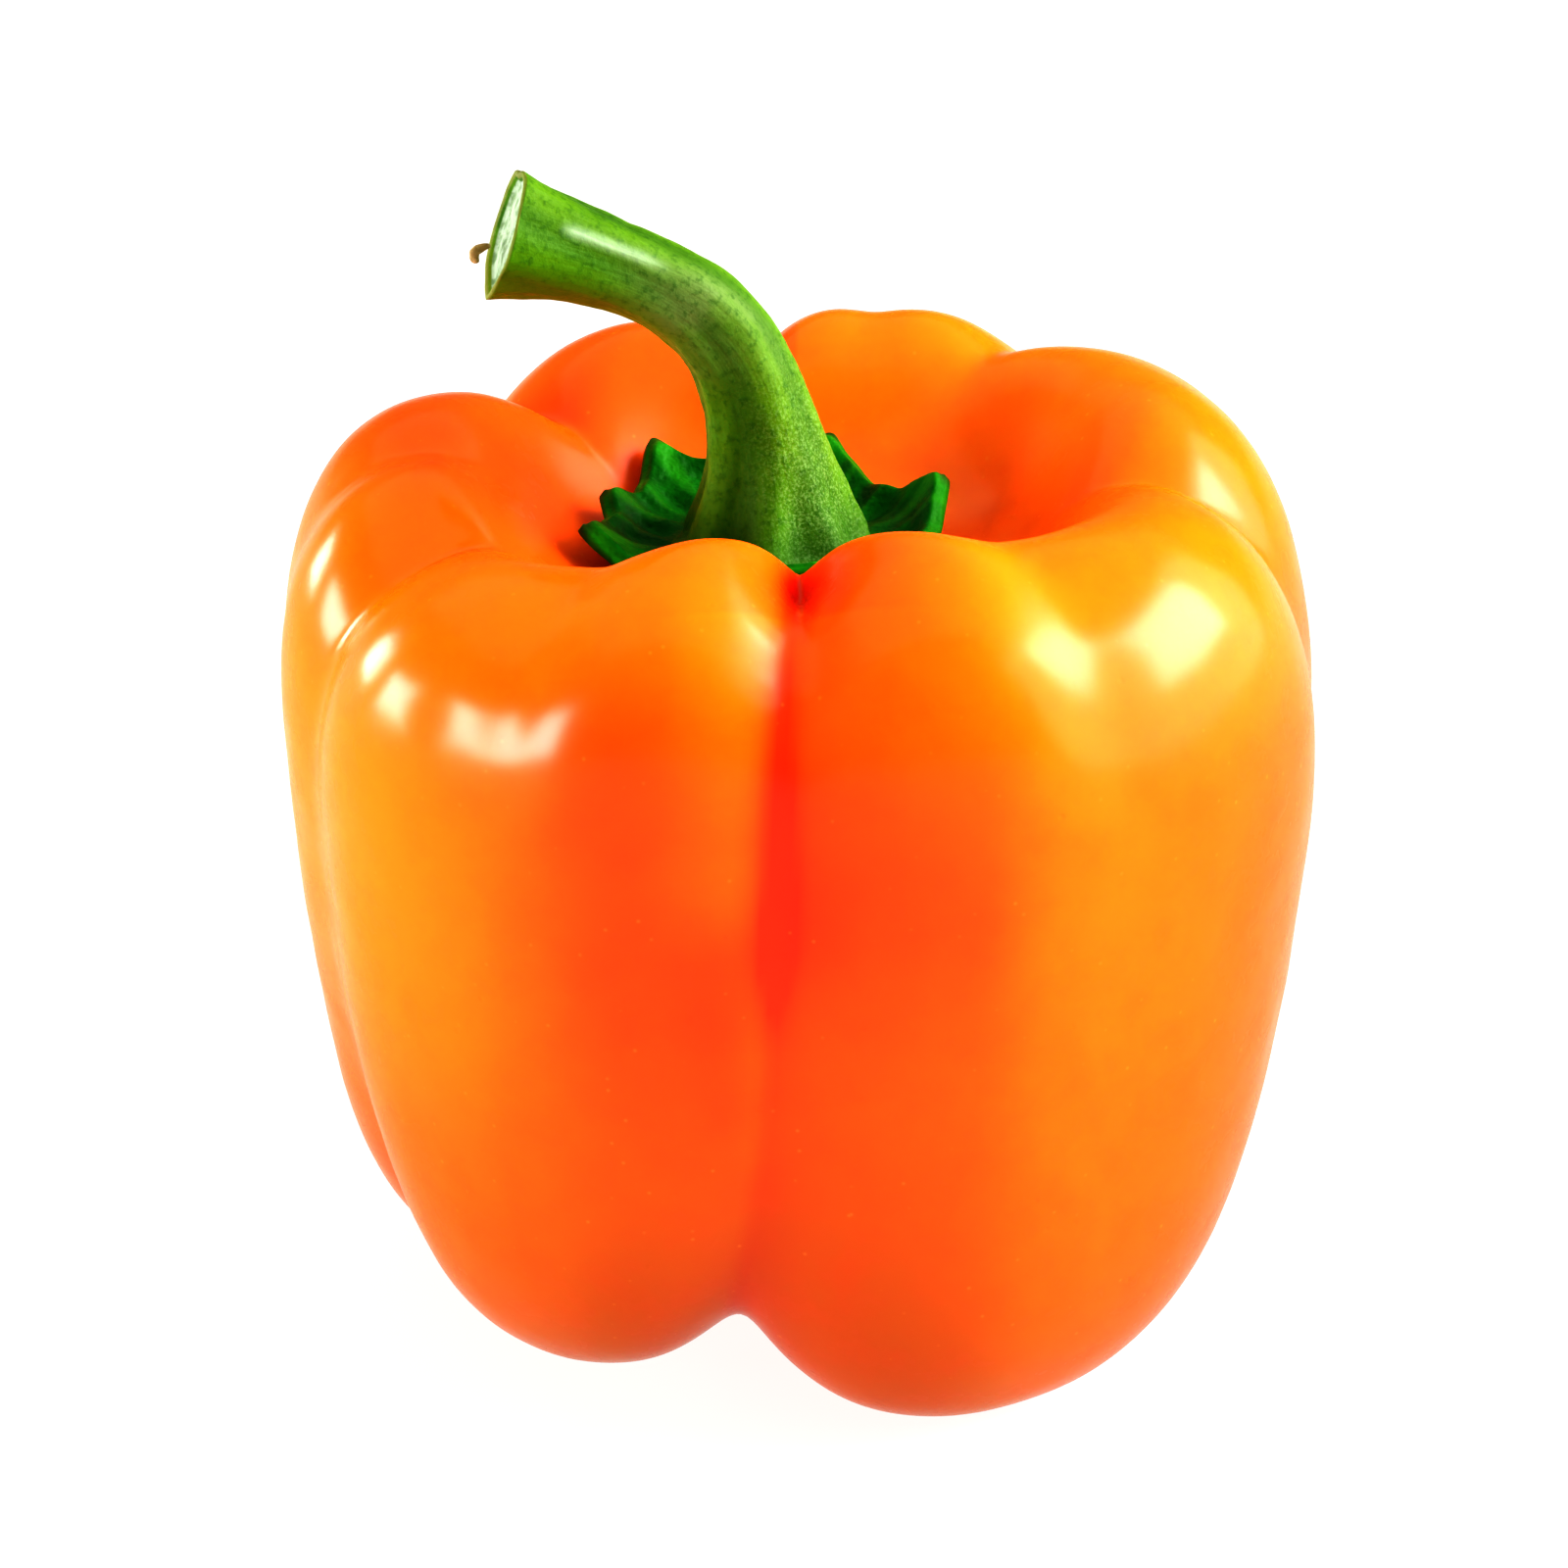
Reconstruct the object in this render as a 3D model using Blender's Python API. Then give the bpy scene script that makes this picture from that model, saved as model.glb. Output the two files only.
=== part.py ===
"""A blocky bell pepper standing on three of its four lobes, as picked, with its stem.

The pepper is three pieces: the fruit, the leafy green calyx that lies in the hollow of
its crown, and the bent stem that grows out of the calyx.

All design lengths are millimetres and all design angles are degrees.  An azimuth is
counted from the front of the pepper (-Y) and grows towards +X.  The fruit's skin runs
from the pole under the fruit, out over the feet, up the flanks, over the shoulder and
down into the hollow where the stem stands.
"""
import math

import bpy
import numpy as np

MM = 0.001

# The fruit's profile: a name, then (radius, height) on the crown of a lobe and
# (radius, height) in a deep crease.  The skin is a smooth curve steered by these points.
MERIDIAN = (
    ("pit", (0.0, 9.0), (0.0, 9.3)),
    ("pit_wall", (8.0, 7.6), (7.0, 10.0)),
    ("foot_inner", (14.0, 0.9), (12.5, 9.4)),
    ("foot", (22.5, -1.3), (18.5, 8.4)),
    ("foot_outer", (32.0, 2.2), (25.0, 10.4)),
    ("lower_flank", (37.5, 13.5), (30.5, 18.0)),
    ("flank", (39.5, 28.0), (34.5, 30.0)),
    ("waist", (41.0, 42.0), (36.5, 42.5)),
    ("upper_flank", (42.0, 55.0), (36.0, 54.0)),
    ("shoulder_outer", (41.0, 67.0), (33.0, 64.0)),
    ("shoulder", (36.5, 77.5), (28.5, 70.5)),
    ("crest", (28.5, 82.5), (23.0, 73.5)),
    ("cavity_lip", (22.5, 78.0), (19.0, 72.2)),
    ("cavity_wall", (18.5, 69.4), (16.0, 67.6)),
    ("cavity_floor", (12.0, 65.0), (11.0, 64.8)),
    ("cavity", (0.0, 64.4), (0.0, 64.4)),
)

# The outline seen from above, in eight directions: azimuth, then the reach as a share of
# the profile's radius at the feet, the waist and the crown, then how far the crown and
# the feet are lifted.
OUTLINE = (
    (0.0, 1.06, 0.98, 1.00, 7.3, -0.2),
    (45.0, 1.08, 1.09, 1.19, -3.5, -1.3),
    (90.0, 1.08, 1.05, 1.07, -1.5, -1.0),
    (135.0, 1.04, 1.06, 1.07, -3.8, -1.5),
    (180.0, 1.00, 1.00, 1.00, 0.8, -1.0),
    (-135.0, 1.02, 1.03, 1.04, -4.0, -1.5),
    (-90.0, 1.06, 1.01, 1.09, -2.0, -1.8),
    (-45.0, 1.07, 1.075, 1.22, -6.2, 2.1),
)
OUTLINE_SHARPNESS = 6.0

# The creases between the lobes and the shallow furrows down the middle of each lobe:
# azimuth at the feet, waist and crown, depth at the same three levels as a share of a
# full crease, the angle over which the crease opens out, and how rounded its bottom is
# at the three levels.  The last number is how late the crown's depth sets in on the way
# up: at 1 halfway to the crest, and above 1 nearer to the crest.
GROOVES = (
    ("front", (-11.0, -1.0, 1.0), (1.00, 0.45, 1.75), 14.0, (3.0, 5.0, 1.0), 4.0),
    ("front_right_furrow", (36.0, 36.0, 33.0), (0.02, 0.04, 0.22), 9.0, (5.0, 5.0, 3.0), 1.0),
    ("right", (88.0, 86.0, 84.0), (0.90, 0.35, 0.70), 15.0, (4.0, 6.0, 1.5), 1.0),
    ("back_right_furrow", (140.0, 140.0, 144.0), (0.05, 0.15, 0.45), 11.0, (5.0, 5.0, 2.5), 1.0),
    ("back_right_dimple", (167.0, 167.0, 167.0), (0.03, 0.05, 0.25), 9.0, (5.0, 5.0, 3.0), 1.0),
    ("back", (188.0, 188.0, 188.0), (0.95, 0.45, 0.90), 14.0, (4.0, 6.0, 1.2), 1.0),
    ("back_left_furrow", (230.0, 230.0, 232.0), (0.30, 0.25, 0.80), 12.0, (5.0, 5.0, 2.0), 1.0),
    ("left_furrow", (270.0, 270.0, 272.0), (0.05, 0.10, 0.25), 8.0, (5.0, 5.0, 2.5), 1.0),
    ("left", (290.0, 291.0, 296.0), (0.90, 0.45, 0.60), 12.0, (4.0, 4.0, 1.5), 1.0),
    ("front_left_furrow", (328.0, 328.0, 329.0), (0.02, 0.04, 0.28), 9.0, (5.0, 5.0, 2.5), 1.0),
)

# Over how many profile steps the lobes die out towards the pole below and above.
PIT_FADE = 1.6
CAVITY_FADE = 3.2
# The crown's lift starts above this share of the height, and the feet's below it.
LIFT_START = 0.45

# Where the stem and the calyx stand, a little to the left of the fruit's axis.
STALK_PLACE = (-1.7, 0.0)

# The calyx: azimuth and radius of each tooth's tip and how far it curls up, and the same
# radius and curl for the bays between the teeth.
CALYX_TEETH = (
    (14.0, 14.8, 1.2),
    (62.0, 14.4, 2.4),
    (112.0, 14.8, 3.8),
    (164.0, 16.8, 0.6),
    (216.0, 17.2, 1.0),
    (248.0, 14.9, 1.3),
    (281.0, 15.6, 1.8),
    (324.0, 14.6, 1.4),
)
CALYX_BAY_RADIUS = 12.4
CALYX_BAY_CURL = 1.2
TOOTH_SPREAD = 13.0
CALYX_GAP = 0.65
CALYX_THICKNESS = 1.2
CALYX_RIM_THICKNESS = 0.85
HUB_RADIUS = 9.9
HUB_HEIGHT = 67.0
HUB_EDGE = 1.0
FOLD_HEIGHT = 0.35
# How many times the profile is halved to find the skin's height under the calyx.
HALVINGS = 24

# The stem's middle line from its foot to the cut end: x, y, height, radius.
STEM_LINE = (
    (-1.9, -0.2, 67.4, 7.9),
    (-2.0, -0.2, 69.8, 6.7),
    (-2.2, 0.0, 73.4, 5.2),
    (-2.9, 0.0, 77.6, 4.4),
    (-3.9, 0.0, 81.0, 4.0),
    (-5.4, -0.2, 84.7, 3.8),
    (-8.3, -0.5, 88.0, 3.7),
    (-12.3, -0.9, 90.4, 3.3),
    (-16.4, -1.4, 92.2, 3.7),
    (-20.1, -1.8, 93.5, 4.4),
    (-22.8, -2.1, 94.4, 5.2),
)
STEM_RIDGES = 5
RIDGE_DEPTH = 0.045
RIDGE_TWIST = 75.0
# The cut end: how deep its face lies below the rind's edge, how far below it lies in its
# very middle, and the rind's inner edge as a share of the stem's radius.
CUT_FACE_DIP = 0.5
CUT_MIDDLE_DIP = 0.25
CUT_RIM_SHARE = 0.84
# The ring inside the flat foot, as a share of the foot's radius.
FOOT_INNER_SHARE = 0.5
# How far ahead and behind, in steps of the table, the stem's direction is measured.
DIRECTION_REACH = 0.01

# Where the pepper's axis stands, measured from the middle of the whole pepper's box.
AXIS_PLACE = (-0.2, 0.0)

# How finely the surfaces are divided.
FRUIT_ROWS = 47
FRUIT_COLUMN_DEGREES = 4.6
FEWEST_COLUMNS = 4
CALYX_COLUMNS = 80
CALYX_ROWS = 8
STEM_COLUMNS = 30
STEM_ROWS = 26

# The colour and the roughness of each finish.
SKIN_COLOUR = (1.0, 0.16, 0.005)
SKIN_ROUGHNESS = 0.22
CALYX_COLOUR = (0.022, 0.085, 0.012)
CALYX_ROUGHNESS = 0.5
STEM_COLOUR = (0.10, 0.24, 0.025)
STEM_ROUGHNESS = 0.42

PROFILE_NAMES = [entry[0] for entry in MERIDIAN]
LOBE_PROFILE = np.array([entry[1] for entry in MERIDIAN])
CREASE_PROFILE = np.array([entry[2] for entry in MERIDIAN])
LAST_STEP = len(MERIDIAN) - 1


def ease(x):
    """Goes smoothly from 0 to 1 as x does."""
    x = np.clip(x, 0.0, 1.0)
    return x * x * (3.0 - 2.0 * x)


def spline(points, at, before, after):
    """The uniform cubic B-spline steered by points, with one extra point past each end."""
    steered = np.vstack([before, points, after])
    start = np.clip(np.floor(at).astype(int), 0, len(points) - 2)
    f = (at - start)[..., None]
    a, b, c, d = (steered[start + k] for k in range(4))
    return (
        (1.0 - f) ** 3 * a
        + (3.0 * f**3 - 6.0 * f**2 + 4.0) * b
        + (-3.0 * f**3 + 3.0 * f**2 + 3.0 * f + 1.0) * c
        + f**3 * d
    ) / 6.0


def profile_point(profile, at):
    """Radius and height on a profile, which crosses its poles level."""
    mirror = (-1.0, 1.0)
    return spline(profile, at, profile[1] * mirror, profile[-2] * mirror)


def by_level(levels, level, lateness=1.0):
    """Eases from the value at the feet to the waist's and on to the crown's."""
    foot, waist, crown = levels
    lower = ease(level * 2.0)
    upper = ease(level * 2.0 - 1.0) ** lateness
    return foot + (waist - foot) * lower + (crown - waist) * upper


def height_share(at):
    """0 at the feet and 1 at the crest of the shoulder."""
    foot = PROFILE_NAMES.index("foot")
    crest = PROFILE_NAMES.index("crest")
    return np.clip((at - foot) / (crest - foot), 0.0, 1.0)


def pole_fade(at):
    """0 at both poles, where the lobes die out, and 1 between them."""
    return ease(at / PIT_FADE) * ease((LAST_STEP - at) / CAVITY_FADE)


def outline_value(azimuth, column):
    """One column of the outline table, blended between its eight directions."""
    centres = np.radians([row[0] for row in OUTLINE])
    weights = np.exp(OUTLINE_SHARPNESS * (np.cos(azimuth[..., None] - centres) - 1.0))
    values = np.array([row[column] for row in OUTLINE])
    return (weights * values).sum(-1) / weights.sum(-1)


def angle_between(azimuth, centre):
    """The signed angle from centre to azimuth, in radians."""
    return np.angle(np.exp(1j * (azimuth - centre)))


def lobe_share(azimuth, at):
    """1 on the crown of a lobe, falling towards 0 in a full crease."""
    level = height_share(at)
    share = np.ones(np.broadcast(azimuth, at).shape)
    for _, places, depths, opening, roundings, lateness in GROOVES:
        off = angle_between(azimuth, np.radians(by_level(places, level)))
        rounding = np.radians(by_level(roundings, level))
        distance = np.sqrt(off**2 + rounding**2) - rounding
        depth = by_level(depths, level, lateness) * pole_fade(at)
        share = share * (1.0 - depth * np.exp(-distance / math.radians(opening)))
    return share


def skin_point(azimuth, at):
    """A point of the fruit's skin, before its feet are pressed flat."""
    share = lobe_share(azimuth, at)[..., None]
    point = profile_point(CREASE_PROFILE, at) * (1.0 - share) + profile_point(LOBE_PROFILE, at) * share
    level = height_share(at)
    fade = pole_fade(at)
    reach = by_level([outline_value(azimuth, column) for column in (1, 2, 3)], level)
    radius = point[..., 0] * (1.0 + (reach - 1.0) * fade)
    crown_lift = outline_value(azimuth, 4) * ease((level - LIFT_START) / (1.0 - LIFT_START))
    foot_lift = outline_value(azimuth, 5) * ease((LIFT_START - level) / LIFT_START)
    height = point[..., 1] + (crown_lift + foot_lift) * fade
    return np.stack([radius * np.sin(azimuth), -radius * np.cos(azimuth), height], -1)


def cavity_height(azimuth, radius):
    """Height of the skin in the hollow of the crown, found by halving the profile."""
    near = np.full(radius.shape, float(PROFILE_NAMES.index("crest")))
    far = np.full(radius.shape, float(LAST_STEP))
    for _ in range(HALVINGS):
        middle = (near + far) / 2.0
        point = skin_point(azimuth, middle)
        outside = np.hypot(point[..., 0], point[..., 1]) > radius
        near = np.where(outside, middle, near)
        far = np.where(outside, far, middle)
    return skin_point(azimuth, (near + far) / 2.0)[..., 2]


def fruit_rings(rows, column_degrees):
    """Rings of skin points from pole to pole, whose columns run along the grooves."""
    at = np.linspace(0.0, LAST_STEP, rows + 2)[1:-1, None]
    level = height_share(at)
    columns = []
    for index, groove in enumerate(GROOVES):
        start = np.radians(by_level(groove[1], level))
        end = np.radians(by_level(GROOVES[(index + 1) % len(GROOVES)][1], level))
        width = np.mod(end - start, 2.0 * math.pi)
        count = max(FEWEST_COLUMNS, round(math.degrees(float(width.mean())) / column_degrees))
        share = np.arange(count)[None, :] / count
        columns.append(start + width * share)
    azimuth = np.hstack(columns)
    return skin_point(azimuth, np.broadcast_to(at, azimuth.shape))


def pole_point(at):
    """The skin's point on the axis at one end of the profile."""
    return skin_point(np.zeros(1), np.array([float(at)]))[0]


def pressed_flat(points):
    """The same points with nothing below the ground, so each foot gets a small flat spot."""
    flat = points.copy()
    flat[..., 2] = np.maximum(flat[..., 2], 0.0)
    return flat


def calyx_edge(azimuth):
    """How near a tooth's tip is, from 1 at the tip to 0, and the edge's radius and curl."""
    places = np.radians([tooth[0] for tooth in CALYX_TEETH])
    tip_radii = np.array([tooth[1] for tooth in CALYX_TEETH])
    tip_curls = np.array([tooth[2] for tooth in CALYX_TEETH])
    off = np.abs(angle_between(azimuth[..., None], places))
    shares = np.exp(-off / math.radians(TOOTH_SPREAD))
    near = shares**2 / (shares**2).sum(-1, keepdims=True)
    share = shares.max(-1)
    radius = CALYX_BAY_RADIUS + (shares * (tip_radii - CALYX_BAY_RADIUS)).max(-1)
    curl = CALYX_BAY_CURL + share * (near * (tip_curls - CALYX_BAY_CURL)).sum(-1)
    return share, radius, curl


def calyx_faces(azimuth, share):
    """Points of the calyx's under and upper face at a share of its radius."""
    tooth, edge_radius, curl = calyx_edge(azimuth)
    radius = edge_radius * share
    across = STALK_PLACE[0] + radius * np.sin(azimuth)
    along = STALK_PLACE[1] - radius * np.cos(azimuth)
    skin = cavity_height(np.arctan2(across, -along), np.hypot(across, along))
    outward = ease((radius - HUB_RADIUS) / (edge_radius - HUB_RADIUS))
    under = skin + CALYX_GAP + curl * outward**2
    thickness = CALYX_THICKNESS + (CALYX_RIM_THICKNESS - CALYX_THICKNESS) * outward
    halfway = 4.0 * outward * (1.0 - outward)
    fold = FOLD_HEIGHT * tooth * halfway
    leaf = under + thickness + fold
    upper = leaf + (HUB_HEIGHT - leaf) * ease((HUB_RADIUS - radius) / HUB_EDGE)
    return np.stack([across, along, under], -1), np.stack([across, along, upper], -1)


def calyx_rings(rows, columns):
    """Rings from the middle of the under face, round the rim, to the middle of the top."""
    azimuth = np.broadcast_to(np.arange(columns) * 2.0 * math.pi / columns, (rows, columns))
    share = np.sqrt(np.linspace(1.0 / rows, 1.0, rows))[:, None] * np.ones((1, columns))
    under, upper = calyx_faces(azimuth, share)
    return np.vstack([under, upper[::-1]])


def stem_point(at):
    """The stem's middle line and radius at a step of its table."""
    points = np.array(STEM_LINE)
    before = 2.0 * points[0] - points[1]
    after = 2.0 * points[-1] - points[-2]
    return spline(points, at, before, after)


def stem_frames(at):
    """At each step: the middle, the radius, two directions across the stem and its own."""
    line = stem_point(at)
    ahead = stem_point(np.minimum(at + DIRECTION_REACH, len(STEM_LINE) - 1.0))
    behind = stem_point(np.maximum(at - DIRECTION_REACH, 0.0))
    along = (ahead - behind)[:, :3]
    along[0] = (0.0, 0.0, 1.0)
    along /= np.linalg.norm(along, axis=1, keepdims=True)
    front = np.array([0.0, -1.0, 0.0])
    across = front - along * (along @ front)[:, None]
    across /= np.linalg.norm(across, axis=1, keepdims=True)
    side = np.cross(along, across)
    return line[:, :3], line[:, 3], across, side, along


def stem_rings(rows, columns):
    """Rings of the stem from its foot to the rim of the cut, then in over the cut face."""
    last = len(STEM_LINE) - 1.0
    at = np.linspace(0.0, last, rows)
    middle, radius, across, side, along = stem_frames(at)
    turn = np.arange(columns) * 2.0 * math.pi / columns
    twist = math.radians(RIDGE_TWIST) * at / last
    ridge = 1.0 + RIDGE_DEPTH * np.cos(STEM_RIDGES * (turn[None, :] - twist[:, None]))
    spread = radius[:, None] * ridge
    offsets = (
        across[:, None, :] * np.cos(turn)[None, :, None]
        + side[:, None, :] * np.sin(turn)[None, :, None]
    ) * spread[..., None]
    rings = middle[:, None, :] + offsets
    inner = middle[-1] + offsets[-1] * CUT_RIM_SHARE - along[-1] * CUT_FACE_DIP
    foot_inner = middle[0] + offsets[0] * FOOT_INNER_SHARE
    rings = np.concatenate([foot_inner[None], rings, inner[None]])
    return middle[0], rings, middle[-1] - along[-1] * CUT_MIDDLE_DIP


def closed_skin(name, start, rings, end, material):
    """An object whose mesh runs from a pole through rings of points to another pole."""
    rows, columns = rings.shape[:2]
    shift = np.array([AXIS_PLACE[0], AXIS_PLACE[1], 0.0])
    points = (np.vstack([start, rings.reshape(-1, 3), end]) + shift) * MM
    last = len(points) - 1
    faces = []
    for column in range(columns):
        beside = (column + 1) % columns
        faces.append((0, 1 + beside, 1 + column))
        for row in range(rows - 1):
            low = 1 + row * columns
            high = low + columns
            faces.append((low + column, low + beside, high + beside, high + column))
        top = 1 + (rows - 1) * columns
        faces.append((top + column, top + beside, last))
    mesh = bpy.data.meshes.new(name)
    mesh.from_pydata(points.tolist(), [], faces)
    mesh.materials.append(material)
    mesh.shade_smooth()
    part = bpy.data.objects.new(name, mesh)
    bpy.context.scene.collection.objects.link(part)
    return part


def plant_material(name, colour, roughness):
    """A plain finish with the colour and gloss of one piece."""
    material = bpy.data.materials.new(name)
    material.use_nodes = True
    shader = material.node_tree.nodes["Principled BSDF"]
    shader.inputs["Base Color"].default_value = (*colour, 1.0)
    shader.inputs["Roughness"].default_value = roughness
    shader.inputs["Metallic"].default_value = 0.0
    material.diffuse_color = (*colour, 1.0)
    return material


def clear_scene():
    for thing in list(bpy.data.objects):
        bpy.data.objects.remove(thing, do_unlink=True)


def make_fruit():
    rings = pressed_flat(fruit_rings(FRUIT_ROWS, FRUIT_COLUMN_DEGREES))
    material = plant_material("pepper_skin", SKIN_COLOUR, SKIN_ROUGHNESS)
    return closed_skin("fruit", pole_point(0), rings, pole_point(LAST_STEP), material)


def make_calyx():
    rings = calyx_rings(CALYX_ROWS, CALYX_COLUMNS)
    under, upper = calyx_faces(np.zeros(1), np.zeros(1))
    material = plant_material("calyx_leaf", CALYX_COLOUR, CALYX_ROUGHNESS)
    return closed_skin("calyx", under[0], rings, upper[0], material)


def make_stem():
    foot, rings, cut = stem_rings(STEM_ROWS, STEM_COLUMNS)
    material = plant_material("stem_rind", STEM_COLOUR, STEM_ROUGHNESS)
    return closed_skin("stem", foot, rings, cut, material)


def main():
    clear_scene()
    make_fruit()
    make_calyx()
    make_stem()


main()
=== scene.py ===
"""The looks of the bell pepper: its fine skin, its calyx, its stem, and soft studio light.

Design lengths are millimetres and design angles are degrees, as in the part's own source,
and only the lights, the floor and the camera's distance are given in metres.  An azimuth
is counted from the front of the pepper (-Y) and grows towards +X.
"""
import math

import bpy
import numpy as np
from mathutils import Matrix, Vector, noise


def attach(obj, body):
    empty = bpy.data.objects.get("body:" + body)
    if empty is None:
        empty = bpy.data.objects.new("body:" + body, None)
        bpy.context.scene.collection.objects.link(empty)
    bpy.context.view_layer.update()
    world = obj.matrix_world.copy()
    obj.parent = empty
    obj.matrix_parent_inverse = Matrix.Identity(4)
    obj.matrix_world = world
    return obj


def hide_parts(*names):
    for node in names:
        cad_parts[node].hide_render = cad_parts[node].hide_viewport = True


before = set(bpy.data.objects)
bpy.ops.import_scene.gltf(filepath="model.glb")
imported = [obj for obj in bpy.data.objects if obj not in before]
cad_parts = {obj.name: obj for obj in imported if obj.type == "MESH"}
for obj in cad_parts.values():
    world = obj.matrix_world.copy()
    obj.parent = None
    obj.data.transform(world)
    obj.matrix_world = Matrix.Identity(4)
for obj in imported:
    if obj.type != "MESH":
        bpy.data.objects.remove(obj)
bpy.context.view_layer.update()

MM = 0.001
BODY = "root"

# The fruit's profile: a name, then (radius, height) on the crown of a lobe and
# (radius, height) in a deep crease.  The skin is a smooth curve steered by these points.
MERIDIAN = (
    ("pit", (0.0, 9.0), (0.0, 9.3)),
    ("pit_wall", (8.0, 7.6), (7.0, 10.0)),
    ("foot_inner", (14.0, 0.9), (12.5, 9.4)),
    ("foot", (22.5, -1.3), (18.5, 8.4)),
    ("foot_outer", (32.0, 2.2), (25.0, 10.4)),
    ("lower_flank", (37.5, 13.5), (30.5, 18.0)),
    ("flank", (39.5, 28.0), (34.5, 30.0)),
    ("waist", (41.0, 42.0), (36.5, 42.5)),
    ("upper_flank", (42.0, 55.0), (36.0, 54.0)),
    ("shoulder_outer", (41.0, 67.0), (33.0, 64.0)),
    ("shoulder", (36.5, 77.5), (28.5, 70.5)),
    ("crest", (28.5, 82.5), (23.0, 73.5)),
    ("cavity_lip", (22.5, 78.0), (19.0, 72.2)),
    ("cavity_wall", (18.5, 69.4), (16.0, 67.6)),
    ("cavity_floor", (12.0, 65.0), (11.0, 64.8)),
    ("cavity", (0.0, 64.4), (0.0, 64.4)),
)

# The outline seen from above, in eight directions: azimuth, then the reach as a share of
# the profile's radius at the feet, the waist and the crown, then how far the crown and
# the feet are lifted.
OUTLINE = (
    (0.0, 1.06, 0.98, 1.00, 7.3, -0.2),
    (45.0, 1.08, 1.09, 1.19, -3.5, -1.3),
    (90.0, 1.08, 1.05, 1.07, -1.5, -1.0),
    (135.0, 1.04, 1.06, 1.07, -3.8, -1.5),
    (180.0, 1.00, 1.00, 1.00, 0.8, -1.0),
    (-135.0, 1.02, 1.03, 1.04, -4.0, -1.5),
    (-90.0, 1.06, 1.01, 1.09, -2.0, -1.8),
    (-45.0, 1.07, 1.075, 1.22, -6.2, 2.1),
)
OUTLINE_SHARPNESS = 6.0

# The creases between the lobes and the shallow furrows down the middle of each lobe:
# azimuth at the feet, waist and crown, depth at the same three levels as a share of a
# full crease, the angle over which the crease opens out, and how rounded its bottom is
# at the three levels.  The last number is how late the crown's depth sets in on the way
# up: at 1 halfway to the crest, and above 1 nearer to the crest.
GROOVES = (
    ("front", (-11.0, -1.0, 1.0), (1.00, 0.45, 1.75), 14.0, (3.0, 5.0, 1.0), 4.0),
    ("front_right_furrow", (36.0, 36.0, 33.0), (0.02, 0.04, 0.22), 9.0, (5.0, 5.0, 3.0), 1.0),
    ("right", (88.0, 86.0, 84.0), (0.90, 0.35, 0.70), 15.0, (4.0, 6.0, 1.5), 1.0),
    ("back_right_furrow", (140.0, 140.0, 144.0), (0.05, 0.15, 0.45), 11.0, (5.0, 5.0, 2.5), 1.0),
    ("back_right_dimple", (167.0, 167.0, 167.0), (0.03, 0.05, 0.25), 9.0, (5.0, 5.0, 3.0), 1.0),
    ("back", (188.0, 188.0, 188.0), (0.95, 0.45, 0.90), 14.0, (4.0, 6.0, 1.2), 1.0),
    ("back_left_furrow", (230.0, 230.0, 232.0), (0.30, 0.25, 0.80), 12.0, (5.0, 5.0, 2.0), 1.0),
    ("left_furrow", (270.0, 270.0, 272.0), (0.05, 0.10, 0.25), 8.0, (5.0, 5.0, 2.5), 1.0),
    ("left", (290.0, 291.0, 296.0), (0.90, 0.45, 0.60), 12.0, (4.0, 4.0, 1.5), 1.0),
    ("front_left_furrow", (328.0, 328.0, 329.0), (0.02, 0.04, 0.28), 9.0, (5.0, 5.0, 2.5), 1.0),
)

# Over how many profile steps the lobes die out towards the pole below and above.
PIT_FADE = 1.6
CAVITY_FADE = 3.2
# The crown's lift starts above this share of the height, and the feet's below it.
LIFT_START = 0.45

# Fine relief, in layers of lumps: height, size, and the seed that moves the noise.
SKIN_LUMPS = ((0.16, 11.0, 3.0), (0.05, 4.0, 9.0))
CALYX_LUMPS = ((0.12, 2.6, 41.0), (0.04, 1.0, 57.0))
STEM_LUMPS = ((0.12, 2.6, 21.0), (0.03, 0.9, 33.0))
FIBRE_LUMPS = ((0.06, 0.5, 77.0),)
# The skin's lumps set in between these two heights, so that the feet stay flat.
SKIN_LUMPS_START = (1.0, 7.0)

# The blossom's scar in the pit underneath: the radii where it is full and where it ends,
# and its depth.
SCAR_INNER = 1.2
SCAR_OUTER = 2.4
SCAR_DEPTH = 0.35

# The skin's colours follow its shape.  Strengths go from 0 to 1, a pair of places says
# where a colour starts and where it is full, and four say where it fades and ends too.
# The red flushes down the front, partly the skin's own red and partly painted shade:
# azimuth, spread, strength, and the heights where each starts and is full on the way down.
FRONT_FLUSHES = (
    (-19.0, 10.5, 0.55, 82.0, 64.0),
    (-8.0, 6.0, 0.40, 58.0, 48.0),
)
# They weaken towards the ground, down to this share of their strength.
FLUSH_LOW_SHARE = 0.45
FLUSH_LOW_HEIGHTS = (26.0, 46.0)
# The red of any crease, partly the skin's own red and partly painted shade, on the flank
# and on the crown, and where the one turns into the other.
CREASE_FLUSH = (0.22, 0.10)
CREASE_FLUSH_HEIGHTS = (64.0, 78.0)
# The red line of painted shade beside the bottom of the front crease: how far off, how wide,
# how strong.
RED_LINE = (-2.2, 2.6, 0.55)
RED_LINE_HEIGHTS = (40.0, 52.0, 70.0, 78.0)
# The red to the right of that line, partly painted shade: where it starts from the crease,
# the azimuths where it ends and is still full, its strength, and the height, spread and gain
# of its redder part.
BESIDE_LINE = (-4.0, -1.0)
BESIDE_LINE_END = (29.0, 19.0)
BESIDE_LINE_STRENGTH = 0.27
BESIDE_LINE_MIDDLE = (54.0, 12.0, 0.30)
MOST_FLUSH = 0.92
# The heights over which the flank's colours turn into the crown's.
CROWN_COLOUR = (58.0, 74.0)
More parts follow.
